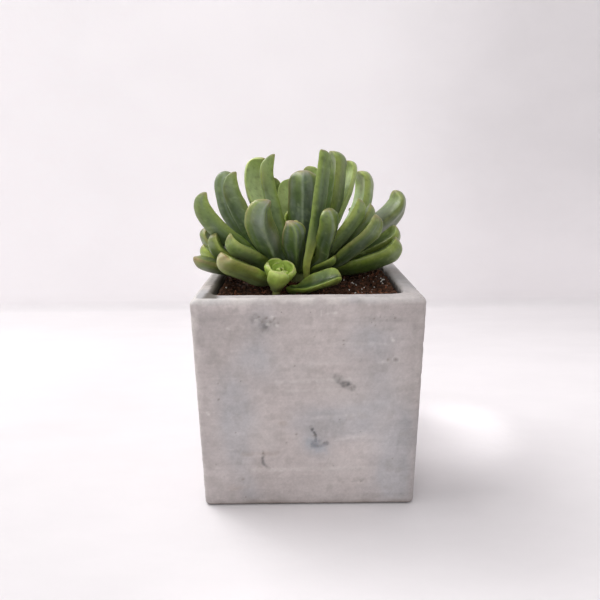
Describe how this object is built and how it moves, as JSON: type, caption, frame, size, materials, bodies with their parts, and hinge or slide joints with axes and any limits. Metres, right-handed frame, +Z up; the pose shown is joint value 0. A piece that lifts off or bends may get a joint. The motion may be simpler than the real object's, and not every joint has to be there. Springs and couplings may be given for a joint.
{
  "type": "potted succulent planter",
  "caption": "Small square cast-concrete planter with slightly tapered sides and rounded rim, holding potting soil and a rosette succulent with an offset pup",
  "frame": {"origin": "centre of the pot's underside, on the table", "axes": "+Z up, -Y out of the front face, +X to the right seen from the front"},
  "size_m": [0.1103, 0.1, 0.1602],
  "materials": {
    "concrete": "matte, cast, with air pits and faint trowel streaks",
    "mesh_plastic": "satin",
    "gravel": "rough loose pebbles",
    "soil": "rough, granular, with white perlite",
    "stem": "smooth, fleshy",
    "leaf": "waxy, with a blue-grey bloom",
    "young_leaf": "waxy, bright lime"
  },
  "bodies": {
    "pot": {"concrete_pot": "concrete", "drain_mesh": "mesh_plastic", "drainage_gravel": "gravel"},
    "planting": {"potting_soil": "soil", "main_stem": "stem", "pup_stem": "stem", "leaf_01": "leaf", "leaf_02": "leaf", "leaf_03": "leaf", "leaf_04": "leaf", "leaf_05": "leaf", "leaf_06": "leaf", "leaf_07": "leaf", "leaf_08": "leaf", "leaf_09": "leaf", "leaf_10": "leaf", "leaf_11": "leaf", "leaf_12": "leaf", "leaf_13": "leaf", "leaf_14": "leaf", "leaf_15": "leaf", "leaf_16": "leaf", "leaf_17": "leaf", "leaf_18": "leaf", "leaf_19": "leaf", "leaf_20": "leaf", "leaf_21": "leaf", "leaf_22": "leaf", "leaf_23": "leaf", "leaf_24": "leaf", "leaf_25": "leaf", "leaf_26": "leaf", "leaf_27": "leaf", "leaf_28": "leaf", "leaf_29": "leaf", "leaf_30": "leaf", "leaf_31": "leaf", "leaf_32": "leaf", "leaf_33": "leaf", "leaf_34": "leaf", "leaf_35": "leaf", "leaf_36": "leaf", "leaf_37": "leaf", "leaf_38": "leaf", "leaf_39": "leaf", "young_leaf_1": "young_leaf", "young_leaf_2": "young_leaf", "young_leaf_3": "young_leaf", "pup_leaf_1": "young_leaf", "pup_leaf_2": "young_leaf", "pup_leaf_3": "young_leaf", "pup_leaf_4": "young_leaf", "pup_leaf_5": "young_leaf", "pup_leaf_6": "young_leaf", "pup_leaf_7": "young_leaf"}
  },
  "joints": [
    {"name": "planting_lift", "type": "slide", "parent": "pot", "child": "planting", "axis": [0, 0, 1], "range_m": [0, 0.13]}
  ]
}
